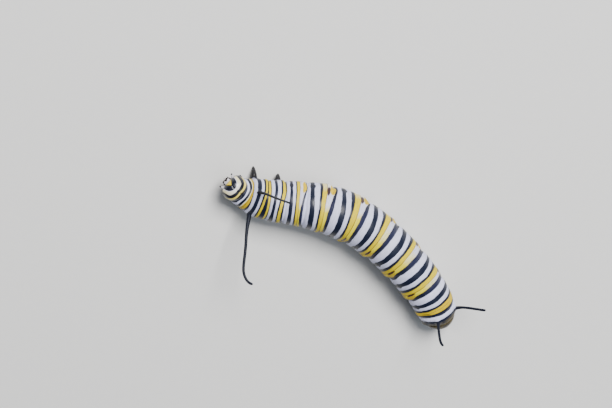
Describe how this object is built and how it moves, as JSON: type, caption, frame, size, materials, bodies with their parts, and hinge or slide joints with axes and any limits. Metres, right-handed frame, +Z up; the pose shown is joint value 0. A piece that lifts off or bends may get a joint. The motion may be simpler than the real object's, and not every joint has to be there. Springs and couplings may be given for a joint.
{
  "type": "monarch larva model",
  "caption": "Life-size still model of a banded monarch larva resting belly down in a gentle curve, with black tentacles at both ends.",
  "frame": {"origin": "middle of the bounding box in plan, on the floor that the soles rest on", "axes": "+X towards the head, +Y towards the larva's left, +Z up"},
  "size_m": [0.041, 0.0174, 0.0138],
  "materials": {
    "skin": "satin, cross-banded in lilac white, blue-black and yellow",
    "capsule": "glossy black with cream and yellow bands",
    "horn": "satin black",
    "proleg": "matt, dark with a pale sole",
    "mouthparts": "pale, semi-gloss"
  },
  "bodies": {
    "root": {"head": "capsule", "labrum": "mouthparts", "labium": "mouthparts", "jaw_left": "capsule", "jaw_right": "capsule", "antenna_left": "mouthparts", "antenna_right": "mouthparts", "thorax_1": "skin", "thorax_2": "skin", "thorax_3": "skin", "abdomen_1": "skin", "abdomen_2": "skin", "abdomen_3": "skin", "abdomen_4": "skin", "abdomen_5": "skin", "abdomen_6": "skin", "abdomen_7": "skin", "abdomen_8": "skin", "tail": "skin", "leg_1_left": "horn", "leg_1_right": "horn", "leg_2_left": "horn", "leg_2_right": "horn", "leg_3_left": "horn", "leg_3_right": "horn", "proleg_3_left": "proleg", "proleg_3_right": "proleg", "proleg_4_left": "proleg", "proleg_4_right": "proleg", "proleg_5_left": "proleg", "proleg_5_right": "proleg", "proleg_6_left": "proleg", "proleg_6_right": "proleg", "clasper_left": "proleg", "clasper_right": "proleg", "front_tentacle_left": "horn", "front_tentacle_right": "horn", "rear_tentacle_left": "horn", "rear_tentacle_right": "horn"}
  },
  "joints": []
}
